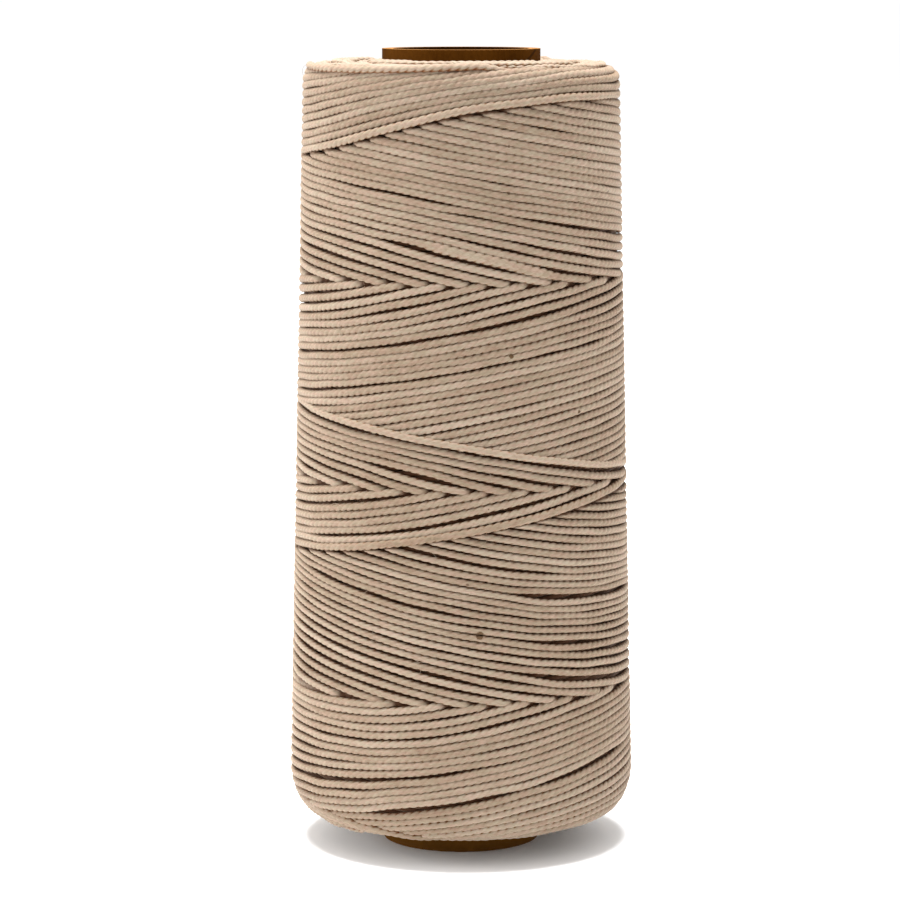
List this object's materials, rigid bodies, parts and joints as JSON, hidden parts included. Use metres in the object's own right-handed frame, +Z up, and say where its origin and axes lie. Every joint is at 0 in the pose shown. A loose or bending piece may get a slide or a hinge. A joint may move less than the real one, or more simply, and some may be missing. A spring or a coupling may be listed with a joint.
{
  "type": "waxed thread spool",
  "caption": "Tall package of cross-wound waxed stitching thread on an open paper tube, for leatherwork.",
  "frame": {"origin": "centre of the tube's bottom end, on the plane the spool stands on", "axes": "+Z up the tube, from the wide end of the package to the narrow end; the package is round about Z, and +Y is the side where the loose thread end is tucked in"},
  "size_m": [0.0486, 0.0486, 0.1116],
  "materials": {
    "kraft_paper": "matte, pressed paper fibres",
    "waxed_thread": "three-ply stitching thread with a soft wax sheen"
  },
  "bodies": {
    "root": {"tube_inner_liner": "kraft_paper", "tube_body_ply_1": "kraft_paper", "tube_body_ply_2": "kraft_paper", "tube_body_ply_3": "kraft_paper", "tube_outer_wrap": "kraft_paper", "winding_layer_1": "waxed_thread", "winding_layer_2": "waxed_thread", "winding_layer_3": "waxed_thread", "winding_layer_4": "waxed_thread", "winding_layer_5": "waxed_thread", "winding_layer_6": "waxed_thread", "thread_end": "waxed_thread"}
  },
  "joints": []
}
